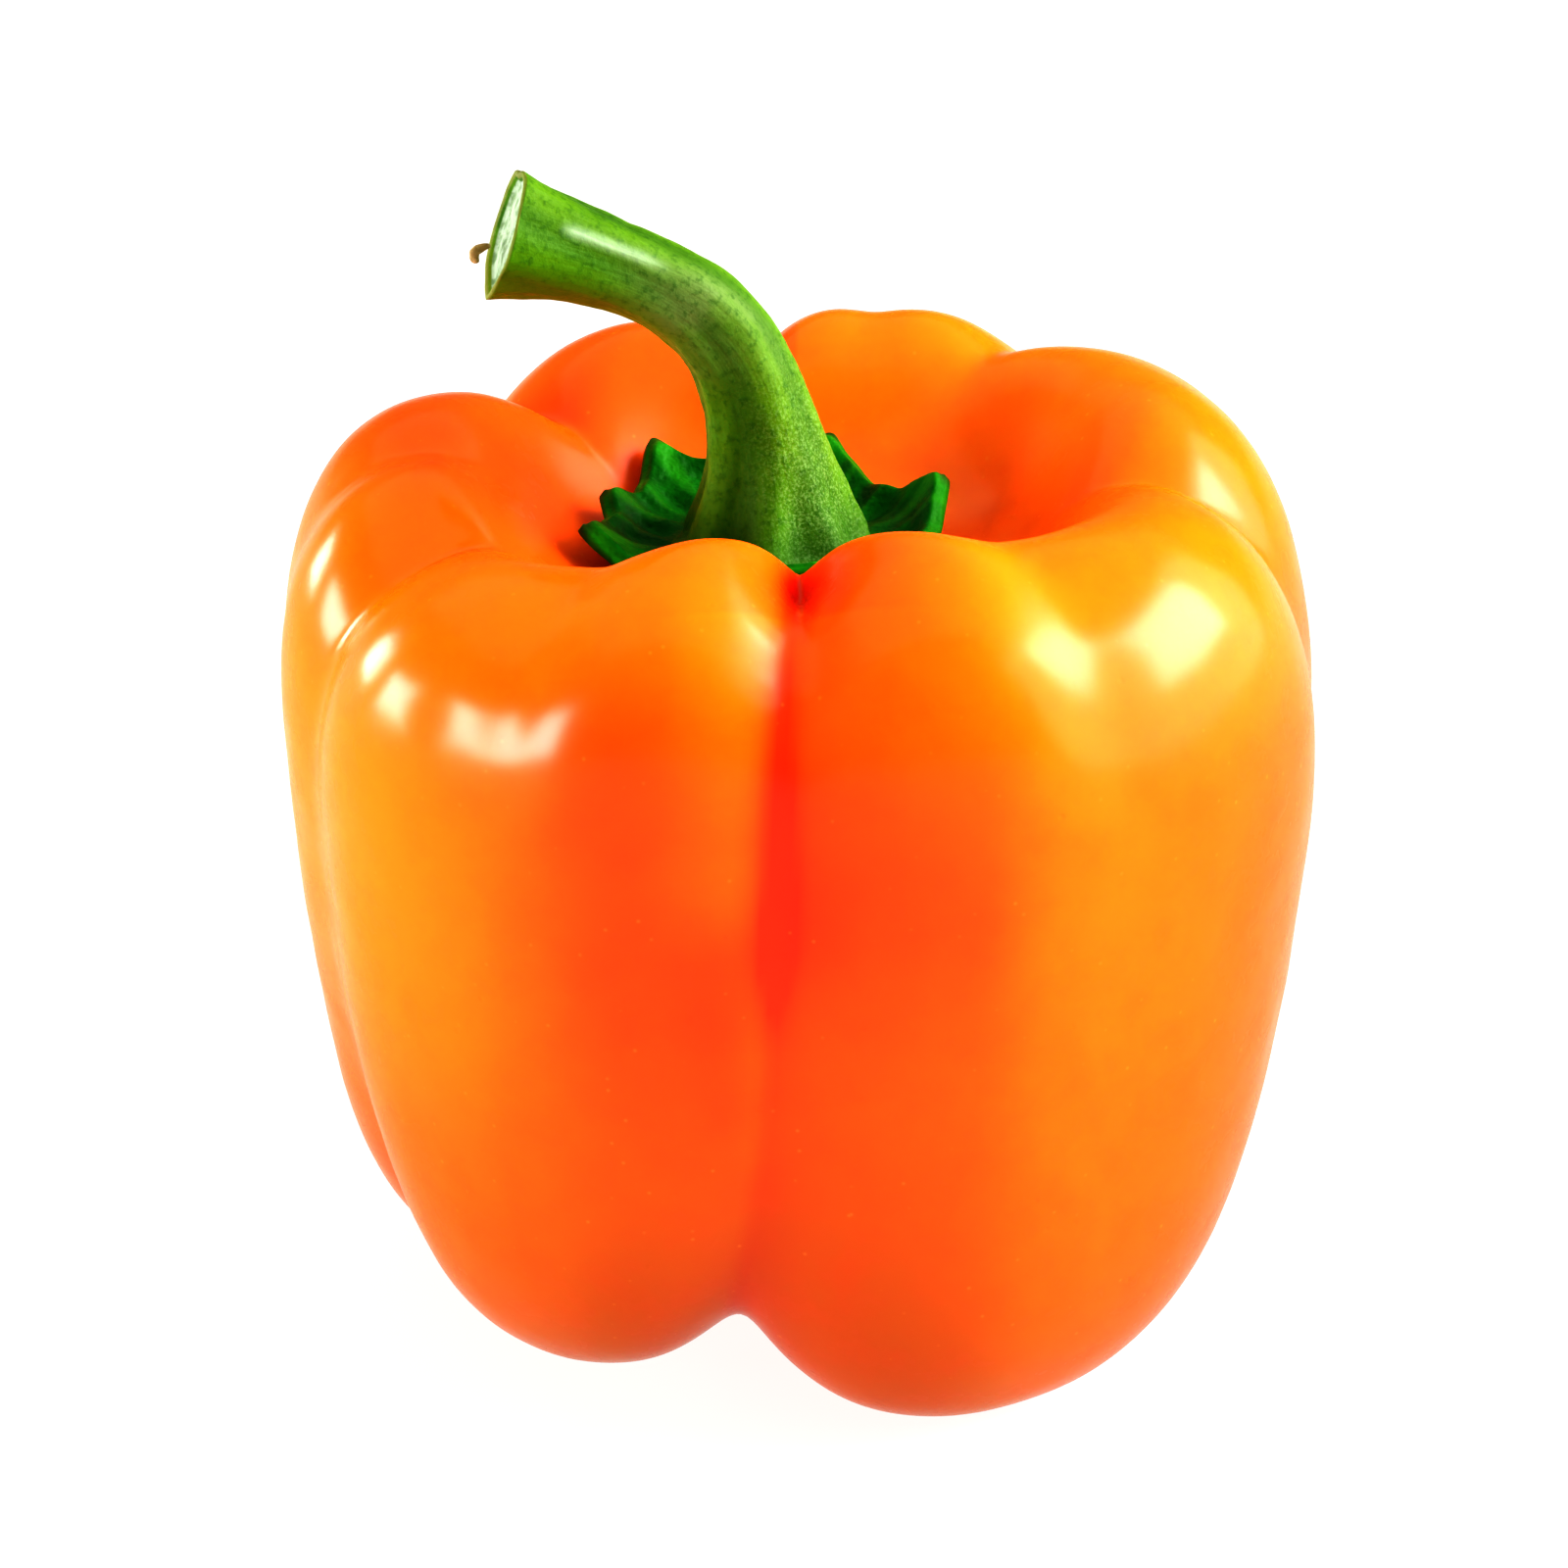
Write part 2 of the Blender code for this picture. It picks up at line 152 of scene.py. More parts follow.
# The azimuths of the left side, whose yellow is partly painted light, and of the right side,
# whose deeper orange is painted shade against the strong light from that side.
LEFT_SIDE = (-30.0, -38.0, -120.0, -160.0)
RIGHT_SIDE = (28.0, 62.0, 100.0, 140.0)
RIGHT_CROWN_SHARE = 0.25
# Yellow on the left flank, and yellow spots on the crown, partly painted light: azimuth,
# spread and strength.
YELLOW_FLANK = 0.13
YELLOW_FLANK_HEIGHTS = (28.0, 40.0)
YELLOW_SPOTS = ((24.0, 10.0, 0.20), (-16.0, 34.0, 0.15))
# How ripe the skin is inside the crown's hollow, where its deeper orange is partly painted
# shade, behind it on the left, and on the crown of the left side.
RIPE_AND_SHADE_INSIDE = 0.65
RIPE_AND_SHADE_INSIDE_RADII = (38.0, 26.0)
RIPE_BEHIND = 0.40
RIPE_LEFT = 0.35
RIPE_LEFT_AZIMUTHS = (-25.0, -40.0)
# Painted shade: the darker colour near the ground, weaker on the right.
GROUND_SHADE_HEIGHTS = (56.0, 2.0)
GROUND_SHADE_RIGHT_SHARE = 0.65

# Where the stem and the calyx stand, a little to the left of the fruit's axis.
STALK_PLACE = (-1.7, 0.0)

# The calyx: azimuth and radius of each tooth's tip and how far it curls up, and the same
# radius and curl for the bays between the teeth.
CALYX_TEETH = (
    (14.0, 14.8, 1.2),
    (62.0, 14.4, 2.4),
    (112.0, 14.8, 3.8),
    (164.0, 16.8, 0.6),
    (216.0, 17.2, 1.0),
    (248.0, 14.9, 1.3),
    (281.0, 15.6, 1.8),
    (324.0, 14.6, 1.4),
)
CALYX_BAY_RADIUS = 12.4
CALYX_BAY_CURL = 1.2
TOOTH_SPREAD = 13.0
TOOTH_ROUNDING = 2.6
CALYX_GAP = 0.5
CALYX_THICKNESS = 1.3
CALYX_RIM_THICKNESS = 1.1
HUB_RADIUS = 9.9
HUB_HEIGHT = 67.0
HUB_EDGE = 1.0
# Shares of the hub's radius where its flat top ends and where the leaf starts to curl.
HUB_TOP = 0.93
CURL_START = 0.85
# The calyx's own relief: the rib along each tooth, the folds that run out to the rim
# and the thick rolled rim.
MIDRIB_HEIGHT = 0.75
MIDRIB_WIDTH = 6.5
# The midribs are full from the radius divided by this number outwards.
MIDRIB_RISE = 2.2
FOLDS = 19
FOLD_HEIGHT = 0.45
FOLD_WANDER = 1.6
ROLL_HEIGHT = 0.25
# From this share of the calyx's radius the upper face rounds down to the edge, by this
# share of the thickness, and the edge itself stands out by this share of the rim's.
EDGE_START = 0.93
EDGE_DROOP = 0.55
EDGE_BULGE = 0.35

# The stem's middle line from its foot to the cut end: x, y, height, radius.
STEM_LINE = (
    (-1.9, -0.2, 67.4, 7.9),
    (-2.0, -0.2, 69.8, 6.7),
    (-2.2, 0.0, 73.4, 5.2),
    (-2.9, 0.0, 77.6, 4.4),
    (-3.9, 0.0, 81.0, 4.0),
    (-5.4, -0.2, 84.7, 3.8),
    (-8.3, -0.5, 88.0, 3.7),
    (-12.3, -0.9, 90.4, 3.3),
    (-16.4, -1.4, 92.2, 3.7),
    (-20.1, -1.8, 93.5, 4.4),
    (-22.8, -2.1, 94.4, 5.2),
)
# Depths of the stem's ridges are shares of its radius.
STEM_RIDGES = 5
RIDGE_DEPTH = 0.045
RIDGE_TWIST = 75.0
FINE_RIDGES = 13
FINE_RIDGE_DEPTH = 0.006
FINE_RIDGE_WANDER = 1.2
# The buttresses round the stem's foot: how many, how deep, how far up the stem's length
# they start and end, and in radians where the first stands and how far they twist.
BUTTRESSES = 7
BUTTRESS_DEPTH = 0.09
BUTTRESS_START = 0.04
BUTTRESS_REACH = 0.36
BUTTRESS_PLACE = 0.8
BUTTRESS_TWIST = 2.0
# How much the buttresses count beside the main ridges in the rind's painted shade.
BUTTRESS_SHADE = 1.2
# Where the painted highlight streak lies round the upper stem and how narrow it is, in
# radians, and where it starts, is full, fades and ends as shares of the stem's length.
STREAK_HIGHLIGHT_TURN = 0.75
STREAK_HIGHLIGHT_WIDTH = 0.12
STREAK_HIGHLIGHT_REACH = (0.66, 0.73, 0.85, 0.90)
# More shares of the stem's length: the middle and spread of the grey bend, which is waxy
# bloom and painted sheen, and where the lit top, the olive underside of painted bounce
# light and the powder and painted glints by the foot set in and are full.
GREY_BEND = (0.60, 0.13)
LIT_REACH = (0.1, 0.3)
BOUNCE_REACH = (0.45, 0.65)
POWDER_AND_GLINT_REACH = (0.58, 0.18)
# How bright the lit side is below the first of those places.
LIT_FOOT_SHARE = 0.35
# How close the rind's streaks lie round the stem and along it.
STREAKS_ROUND = 2.4
STREAKS_ALONG = 2.2

# The cut end, from the rind inwards: share of the stem's radius, and how far past the
# end of the rind the ring stands.
CUT_RINGS = (
    (0.985, 0.12),
    (0.95, 0.18),
    (0.91, 0.12),
    (0.87, -0.10),
    (0.84, -0.35),
    (0.78, -0.48),
    (0.66, -0.42),
    (0.50, -0.32),
    (0.34, -0.28),
    (0.24, -0.40),
    (0.12, -0.55),
)
CUT_FACE_DIP = 0.5
# Rings outside the first share have the rind's brown rim, and inside the second the flesh.
CUT_RIM_SHARE = 0.9
CUT_FLESH_SHARE = 0.86
# How the cut's rings are uneven: depth as a share of the radius, waves, and their start.
CUT_WAVES = ((0.012, 7.0, 2.0), (0.008, 11.0, 0.0))
# The stem's underside has one ring of this share of the foot's radius.
FOOT_RING = 0.5

# The dry fibre that sticks out of the cut: its line and its radius.
FIBRE_LINE = (
    (-24.0, -2.3, 93.4, 0.34),
    (-24.9, -2.5, 93.2, 0.36),
    (-25.3, -2.7, 92.9, 0.42),
    (-25.2, -2.8, 92.4, 0.40),
    (-24.9, -2.8, 92.2, 0.26),
)
# How blunt the fibre's two ends are: -1 at its start and 1 at its end are points.
FIBRE_ENDS = (-0.96, 0.98)

# Where the pepper's axis stands, measured from the middle of the whole pepper's box.
AXIS_PLACE = (-0.2, 0.0)

# How finely the surfaces are divided.
FRUIT_ROWS = 220
FRUIT_COLUMN_DEGREES = 0.95
CALYX_COLUMNS = 480
CALYX_ROWS = 34
STEM_COLUMNS = 192
STEM_ROWS = 190
FIBRE_ROWS = 30
FIBRE_COLUMNS = 16
# How many times the profile is halved to find the skin's height under the calyx.
HALVINGS = 22

# The camera: how steeply it looks down, its distance, the point it aims at, and its lens.
CAMERA_ELEVATION = 26.0
CAMERA_DISTANCE = 0.55
CAMERA_TARGET_HEIGHT = 40.0
CAMERA_AIM_RIGHT = -0.966
CAMERA_AIM_UP = 4.993
CAMERA_LENS = 153.7
CAMERA_SENSOR = 36.0

# The light from above is warmer than the lights at the sides, and so is the sky.
WHITE = (1.0, 1.0, 1.0)
WARM = (1.0, 0.94, 0.76)
# Soft boxes: name, azimuth and elevation seen from the pepper, distance, width and height
# in metres, brightness and colour.
SOFT_BOXES = (
    ("right_window", 88.0, 24.0, 0.62, 1.05, 0.64, 2.0, WHITE),
    ("right_core", 88.0, 30.0, 0.60, 0.48, 0.34, 8.6, WHITE),
    ("overhead", 180.0, 76.0, 1.00, 1.90, 1.90, 0.50, WARM),
    ("left_front", -54.0, 10.0, 0.75, 0.17, 0.24, 14.5, WHITE),
    ("left_side", -92.0, 7.0, 0.75, 0.28, 0.22, 13.0, WHITE),
    ("left_back", -122.0, 7.5, 0.75, 0.16, 0.20, 14.0, WHITE),
)
LIGHT_TARGET = Vector((0.0, 0.0, 0.05))
SKY_STRENGTH = 0.20

# Half the floor's width in metres, its two greys, and the glow that lifts it to white.
FLOOR_HALF = 12.0
FLOOR_GREYS = (0.12, 0.13)
FLOOR_GLOW_COLOUR = (1.0, 0.99, 0.97, 1.0)
FLOOR_GLOW = 0.55

PROFILE_NAMES = [entry[0] for entry in MERIDIAN]
LOBE_PROFILE = np.array([entry[1] for entry in MERIDIAN])
CREASE_PROFILE = np.array([entry[2] for entry in MERIDIAN])
LAST_STEP = len(MERIDIAN) - 1


def ease(x):
    """Goes smoothly from 0 to 1 as x does."""
    x = np.clip(x, 0.0, 1.0)
    return x * x * (3.0 - 2.0 * x)


def ramp(value, start, end):
    """Goes smoothly from 0 to 1 as the value goes from start to end."""
    return ease((value - start) / (end - start))


def bell(value, centre, spread):
    """1 where the value is at the centre, falling to 0 on both sides."""
    return np.exp(-(((value - centre) / spread) ** 2))


def plateau(value, start, full, fading, end):
    """Rises from 0 at the start to 1, and falls again to 0 at the end."""
    return ramp(value, start, full) * ramp(value, end, fading)


def blend(first, second, share):
    """The first as share is 0, the second as it is 1."""
    return first + (second - first) * share


def full_turn(count):
    """Evenly spaced angles once round, in radians."""
    return np.arange(count) * 2.0 * math.pi / count


def spline(points, at, before, after):
    """The uniform cubic B-spline steered by points, with one extra point past each end."""
    steered = np.vstack([before, points, after])
    start = np.clip(np.floor(at).astype(int), 0, len(points) - 2)
    f = (at - start)[..., None]
    a, b, c, d = (steered[start + k] for k in range(4))
    return (
        (1.0 - f) ** 3 * a
        + (3.0 * f**3 - 6.0 * f**2 + 4.0) * b
        + (-3.0 * f**3 + 3.0 * f**2 + 3.0 * f + 1.0) * c
        + f**3 * d
    ) / 6.0


def profile_point(profile, at):
    """Radius and height on a profile, which crosses its poles level."""
    mirror = (-1.0, 1.0)
    return spline(profile, at, profile[1] * mirror, profile[-2] * mirror)


def line_point(table, at):
    """Place and radius at a step of a table of line points, kept straight at both ends."""
    points = np.array(table)
    return spline(points, at, 2.0 * points[0] - points[1], 2.0 * points[-1] - points[-2])


def by_level(levels, level, lateness=1.0):
    """Eases from the value at the feet to the waist's and on to the crown's."""
    foot, waist, crown = levels
    lower = ease(level * 2.0)
    upper = ease(level * 2.0 - 1.0) ** lateness
    return foot + (waist - foot) * lower + (crown - waist) * upper


def height_share(at):
    """0 at the feet and 1 at the crest of the shoulder."""
    foot = PROFILE_NAMES.index("foot")
    crest = PROFILE_NAMES.index("crest")
    return np.clip((at - foot) / (crest - foot), 0.0, 1.0)


def pole_fade(at):
    """0 at both poles, where the lobes die out, and 1 between them."""
    return ease(at / PIT_FADE) * ease((LAST_STEP - at) / CAVITY_FADE)


def outline_value(azimuth, column):
    """One column of the outline table, blended between its eight directions."""
    centres = np.radians([row[0] for row in OUTLINE])
    weights = np.exp(OUTLINE_SHARPNESS * (np.cos(azimuth[..., None] - centres) - 1.0))
    values = np.array([row[column] for row in OUTLINE])
    return (weights * values).sum(-1) / weights.sum(-1)


def angle_between(azimuth, centre):
    """The signed angle from centre to azimuth, in radians."""
    return np.angle(np.exp(1j * (azimuth - centre)))


def rounded_distance(off, rounding):
    """The size of an angle, with its sharp corner at zero rounded off."""
    return np.sqrt(off**2 + rounding**2) - rounding


def lobe_share(azimuth, at):
    """1 on the crown of a lobe, falling towards 0 in a full crease."""
    level = height_share(at)
    share = np.ones(np.broadcast(azimuth, at).shape)
    for _, places, depths, opening, roundings, lateness in GROOVES:
        off = angle_between(azimuth, np.radians(by_level(places, level)))
        distance = rounded_distance(off, np.radians(by_level(roundings, level)))
        depth = by_level(depths, level, lateness) * pole_fade(at)
        share = share * (1.0 - depth * np.exp(-distance / math.radians(opening)))
    return share


def skin_point(azimuth, at):
    """A point of the fruit's skin, before its feet are pressed flat."""
    share = lobe_share(azimuth, at)[..., None]
    crease = profile_point(CREASE_PROFILE, at)
    lobe = profile_point(LOBE_PROFILE, at)
    point = crease * (1.0 - share) + lobe * share
    level = height_share(at)
    fade = pole_fade(at)
    reach = by_level([outline_value(azimuth, column) for column in (1, 2, 3)], level)
    radius = point[..., 0] * (1.0 + (reach - 1.0) * fade)
    crown_lift = outline_value(azimuth, 4) * ramp(level, LIFT_START, 1.0)
    foot_lift = outline_value(azimuth, 5) * ramp(level, LIFT_START, 0.0)
    height = point[..., 1] + (crown_lift + foot_lift) * fade
    return np.stack([radius * np.sin(azimuth), -radius * np.cos(azimuth), height], -1)


def cavity_height(azimuth, radius):
    """Height of the skin in the hollow of the crown, found by halving the profile."""
    near = np.full(radius.shape, float(PROFILE_NAMES.index("crest")))
    far = np.full(radius.shape, float(LAST_STEP))
    for _ in range(HALVINGS):
        middle = (near + far) / 2.0
        point = skin_point(azimuth, middle)
        outside = np.hypot(point[..., 0], point[..., 1]) > radius
        near = np.where(outside, middle, near)
        far = np.where(outside, far, middle)
    return skin_point(azimuth, (near + far) / 2.0)[..., 2]


def fruit_grid(rows, column_degrees):
    """Azimuth and profile step of rings from pole to pole, with columns along the grooves."""
    at = np.linspace(0.0, LAST_STEP, rows + 2)[1:-1, None]
    level = height_share(at)
    columns = []
    for index, groove in enumerate(GROOVES):
        start = np.radians(by_level(groove[1], level))
        end = np.radians(by_level(GROOVES[(index + 1) % len(GROOVES)][1], level))
        width = np.mod(end - start, 2.0 * math.pi)
        count = max(4, round(math.degrees(float(width.mean())) / column_degrees))
        columns.append(start + width * np.arange(count)[None, :] / count)
    azimuth = np.hstack(columns)
    return azimuth, np.broadcast_to(at, azimuth.shape)


def outward(rings):
    """Unit normals of a grid of rings whose columns close on themselves."""
    around = np.roll(rings, -1, axis=1) - np.roll(rings, 1, axis=1)
    up = np.gradient(rings, axis=0)
    normal = np.cross(around, up)
    length = np.linalg.norm(normal, axis=-1, keepdims=True)
    return normal / np.maximum(length, 1e-12)


def lumps(points, layers):
    """How far each point is raised by layers of smooth noise."""
    raised = np.zeros(points.shape[:-1])
    for height, size, seed in layers:
        flat = points.reshape(-1, 3) / size + seed
        values = [noise.noise(Vector(p)) for p in flat.tolist()]
        raised = raised + height * np.array(values).reshape(raised.shape)
    return raised


def spokes(first, second, turn):
    """Unit vectors across a line at each of its rows and at each angle round it."""
    cosine = np.cos(turn)[None, :, None]
    sine = np.sin(turn)[None, :, None]
    return first[:, None, :] * cosine + second[:, None, :] * sine


def object_of(name, start, rings, end, values=None):
    """An object whose mesh runs from a pole through rings of points to another pole.

    values holds named numbers for each ring point, kept on the mesh for its finish.
    """
    rows, columns = rings.shape[:2]
    shift = np.array([AXIS_PLACE[0], AXIS_PLACE[1], 0.0])
    points = (np.vstack([start, rings.reshape(-1, 3), end]) + shift) * MM
    index = 1 + np.arange(rows * columns).reshape(rows, columns)
    beside = np.roll(index, -1, axis=1)
    quads = np.stack([index[:-1], beside[:-1], beside[1:], index[1:]], -1).reshape(-1, 4)
    last = len(points) - 1
    faces = quads.tolist()
    faces += [(0, b, a) for a, b in zip(index[0].tolist(), beside[0].tolist())]
    faces += [(a, b, last) for a, b in zip(index[-1].tolist(), beside[-1].tolist())]
    mesh = bpy.data.meshes.new(name)
    mesh.from_pydata(points.tolist(), [], faces)
    mesh.shade_smooth()
    for key, grid in (values or {}).items():
        attribute = mesh.attributes.new(key, "FLOAT", "POINT")
        first, final = float(grid[0].mean()), float(grid[-1].mean())
        whole = np.concatenate([[first], grid.reshape(-1), [final]]).astype(np.float32)
        attribute.data.foreach_set("value", whole)
    piece = bpy.data.objects.new(name, mesh)
    bpy.context.scene.collection.objects.link(piece)
    return piece


def linear(red, green, blue):
    """A colour of 0 to 255 screen values as the linear values that shaders take."""
    def channel(value):
        value = value / 255.0
        return value / 12.92 if value <= 0.04045 else ((value + 0.055) / 1.055) ** 2.4
    return (channel(red), channel(green), channel(blue), 1.0)


class Finish:
    """One procedural material, built node by node."""

    def __init__(self, name):
        self.material = bpy.data.materials.new(name)
        self.material.use_nodes = True
        self.tree = self.material.node_tree
        self.shader = self.tree.nodes["Principled BSDF"]
        self.place = self.tree.nodes.new("ShaderNodeTexCoord").outputs["Object"]

    def feed(self, socket, value):
        """Links a node's output to a socket, or sets the socket to a plain value."""
        if isinstance(value, bpy.types.NodeSocket):
            self.tree.links.new(value, socket)
        else:
            socket.default_value = value

    def set(self, **values):
        """Sets the shader's own sockets, named with underscores for spaces."""
        for name, value in values.items():
            self.feed(self.shader.inputs[name.replace("_", " ")], value)

    def value(self, name):
        """A number kept on the mesh."""
        node = self.tree.nodes.new("ShaderNodeAttribute")
        node.attribute_name = name
        return node.outputs["Fac"]

    def streak_place(self):
        """A place whose first two parts go round a stem and whose third runs along it."""
        node = self.tree.nodes.new("ShaderNodeCombineXYZ")
        for axis, name in enumerate(("round_cosine", "round_sine", "run")):
            self.feed(node.inputs[axis], self.value(name))
        return node.outputs["Vector"]

    def noise(self, scale, detail=2.0, rough=0.5, place=None):
        """Cloudy noise with this many features a metre."""
        node = self.tree.nodes.new("ShaderNodeTexNoise")
        self.feed(node.inputs["Vector"], place or self.place)
        node.inputs["Scale"].default_value = scale
        node.inputs["Detail"].default_value = detail
        node.inputs["Roughness"].default_value = rough
        return node.outputs["Fac"]

    def dots(self, scale):
        """Distance to the nearest of scattered points, with this many a metre."""
        node = self.tree.nodes.new("ShaderNodeTexVoronoi")
        self.feed(node.inputs["Vector"], self.place)
        node.inputs["Scale"].default_value = scale
        return node.outputs["Distance"]

    def span(self, value, low, high, to_low=0.0, to_high=1.0):
        """Maps a range of a number smoothly onto another range."""
        node = self.tree.nodes.new("ShaderNodeMapRange")
        node.interpolation_type = "SMOOTHSTEP"
        self.feed(node.inputs["Value"], value)
        node.inputs["From Min"].default_value = low
        node.inputs["From Max"].default_value = high
        node.inputs["To Min"].default_value = to_low
        node.inputs["To Max"].default_value = to_high
        return node.outputs["Result"]

    def maths(self, operation, a, b):
        """The result of one of Blender's operations on two numbers."""
        node = self.tree.nodes.new("ShaderNodeMath")
        node.operation = operation
        self.feed(node.inputs[0], a)
        self.feed(node.inputs[1], b)
        return node.outputs["Value"]

    def plus(self, a, b):
        """The sum of two numbers."""
        return self.maths("ADD", a, b)

    def times(self, a, b):
        """The product of two numbers."""
        return self.maths("MULTIPLY", a, b)

    def mix(self, share, a, b):
        """Colour a turning to colour b as share goes from 0 to 1."""
        node = self.tree.nodes.new("ShaderNodeMix")
        node.data_type = "RGBA"
        self.feed(node.inputs["Factor"], share)
        colours = [s for s in node.inputs if s.type == "RGBA"]
        self.feed(colours[0], a)
        self.feed(colours[1], b)
        return next(s for s in node.outputs if s.type == "RGBA")

    def bump(self, height, millimetres, under=None):
        """A normal raised by height times a distance, on top of another normal."""
        node = self.tree.nodes.new("ShaderNodeBump")
        node.inputs["Strength"].default_value = 1.0
        node.inputs["Distance"].default_value = millimetres * MM
        self.feed(node.inputs["Height"], height)
        if under is not None:
            self.feed(node.inputs["Normal"], under)
        return node.outputs["Normal"]


def skin_finish():
    """Waxy orange skin: redder by the front crease and yellower on the shoulders, partly by painted
    light and shade.
    """
    finish = Finish("pepper_skin_finish")
    orange = linear(252, 124, 1)
    deep = linear(246, 91, 1)
    red = linear(244, 40, 1)
    yellow = linear(255, 166, 1)
    ground_shade = linear(150, 64, 2)
    pale = linear(255, 160, 60)
    dry = linear(120, 84, 40)
    clouds = finish.noise(26.0, 3.0, 0.55)
    mottle = finish.noise(210.0, 3.0, 0.6)
    # The colours that follow the fruit's shape, each broken up a little by the clouds.
    # A deeper orange, partly ripeness and partly painted shade in the crown's hollow and on the
    # right side.
    colour = finish.mix(finish.value("ripe_and_shade"), orange, deep)
    # Yellow, partly painted light on the left flank and the crown.
    warmth = finish.plus(finish.value("yellow_and_light"), finish.span(clouds, 0.3, 0.7, -0.06, 0.06))
    colour = finish.mix(warmth, colour, yellow)
    # Red, partly the skin's own and partly painted shade in the creases and down the front.
    depth = finish.plus(finish.value("flush"), finish.span(clouds, 0.3, 0.7, -0.05, 0.05))
    colour = finish.mix(depth, colour, red)
    # Painted shade: darker near the ground.
    colour = finish.mix(finish.times(finish.value("low"), 0.62), colour, ground_shade)
    # The fine colours: red mottling, small pale specks and the dry scar underneath.
    colour = finish.mix(finish.span(mottle, 0.35, 0.75, 0.0, 0.10), colour, red)
    specks = finish.span(finish.dots(420.0), 0.0, 0.11, 0.26, 0.0)
    colour = finish.mix(specks, colour, pale)
    scar = finish.span(finish.value("scar"), 0.0, 1.0)
    colour = finish.mix(scar, colour, dry)
    finish.set(Base_Color=colour)
    # The wax does the shining, so the flesh below it barely reflects.
    finish.set(Roughness=finish.span(mottle, 0.3, 0.7, 0.22, 0.30))
    finish.set(IOR=1.06)
    finish.set(Coat_Weight=0.40, Coat_Roughness=0.22, Coat_IOR=1.75)
    finish.set(Subsurface_Weight=0.15, Subsurface_Scale=3.0 * MM)
    finish.set(Subsurface_Radius=(1.0, 0.28, 0.06))
    dimples = finish.bump(finish.noise(900.0, 2.0, 0.5), 0.03)
    swell = finish.bump(finish.noise(120.0, 2.0, 0.5), 0.22, under=dimples)
    pits = finish.span(finish.dots(260.0), 0.0, 0.10)
    finish.set(Normal=finish.bump(pits, 0.04, under=swell))
    return finish.material


def calyx_finish():
    """Dark green leaf with slightly paler folds and rim, and brownish tips."""
    finish = Finish("calyx_leaf_finish")
    dark = linear(5, 72, 6)
    green = linear(12, 108, 8)
    pale = linear(56, 152, 26)
    brown = linear(44, 52, 14)
    clouds = finish.noise(240.0, 4.0, 0.6)
    speckle = finish.noise(1300.0, 3.0, 0.6)
    colour = finish.mix(finish.span(clouds, 0.3, 0.7), dark, green)
    colour = finish.mix(finish.span(finish.value("vein"), 0.3, 1.0, 0.0, 0.45), colour, pale)
    colour = finish.mix(finish.span(finish.value("rim"), 0.5, 1.0, 0.0, 0.40), colour, pale)
    colour = finish.mix(finish.span(speckle, 0.55, 0.75, 0.0, 0.35), colour, dark)
    colour = finish.mix(finish.span(finish.value("tip"), 0.8, 1.0, 0.0, 0.8), colour, brown)
    finish.set(Base_Color=colour)
    finish.set(Roughness=finish.span(clouds, 0.3, 0.7, 0.45, 0.60), IOR=1.28)
    finish.set(Specular_Tint=(0.35, 1.0, 0.30, 1.0))
    finish.set(Subsurface_Weight=0.05, Subsurface_Scale=1.2 * MM)
    finish.set(Subsurface_Radius=(0.4, 1.0, 0.15))
    grain = finish.bump(speckle, 0.08)
    finish.set(Normal=finish.bump(finish.noise(420.0, 3.0, 0.6), 0.5, under=grain))
    return finish.material


def rind_colour(finish, clouds, speckle, streaks):
    """The stem's green: streaked lengthways, greyer on the bend, powdery by the foot, with painted
    light, shade, sheen and highlights.
    """
    bright = linear(86, 126, 4)
    grass = linear(74, 124, 5)
    dark_green_and_shade = linear(26, 76, 3)
    grey = linear(104, 126, 72)
    bounce_olive = linear(128, 134, 8)
    fleck = linear(168, 206, 136)
    highlight_pale = linear(196, 220, 190)
    colour = finish.mix(finish.span(finish.value("lit"), 0.0, 1.0), grass, bright)
    # Painted shade in the hollows between the ridges and buttresses.
    colour = finish.mix(finish.span(finish.value("ridge_shade"), 0.75, 0.05, 0.0, 0.46), colour, dark_green_and_shade)
    colour = finish.mix(finish.span(clouds, 0.5, 0.25, 0.0, 0.45), colour, dark_green_and_shade)
    colour = finish.mix(finish.span(streaks, 0.45, 0.70, 0.0, 0.28), colour, dark_green_and_shade)
    colour = finish.mix(finish.span(streaks, 0.42, 0.28, 0.0, 0.25), colour, bright)
    # Grey on the bend: partly waxy bloom, partly painted sheen on the side facing the front.
    bloom_and_sheen = finish.times(finish.value("bloom_and_sheen"), finish.span(clouds, 0.30, 0.60, 0.25, 1.0))
    colour = finish.mix(finish.times(bloom_and_sheen, 0.85), colour, grey)
    colour = finish.mix(finish.span(speckle, 0.48, 0.70, 0.0, 0.50), colour, dark_green_and_shade)
    # Pale flecks on the right side by the foot: partly powder, partly painted glints.
    sparkle = finish.span(finish.noise(4200.0, 3.0, 0.7), 0.56, 0.34, 0.0, 0.30)
    colour = finish.mix(finish.times(sparkle, finish.value("powder_and_glints")), colour, fleck)
    # Painted shade at the stem's foot, by the fruit.
    colour = finish.mix(finish.span(finish.value("along"), 0.16, 0.05, 0.0, 0.4), colour, dark_green_and_shade)
    # Painted reflected light: olive from orange light bouncing up off the fruit onto the underside.
    colour = finish.mix(finish.times(finish.value("under"), 0.55), colour, bounce_olive)
    # A painted highlight streak along the upper stem.
    streak_highlight = finish.times(finish.value("streak_highlight"), finish.span(streaks, 0.25, 0.6, 0.55, 0.15))
    return finish.mix(streak_highlight, colour, highlight_pale)


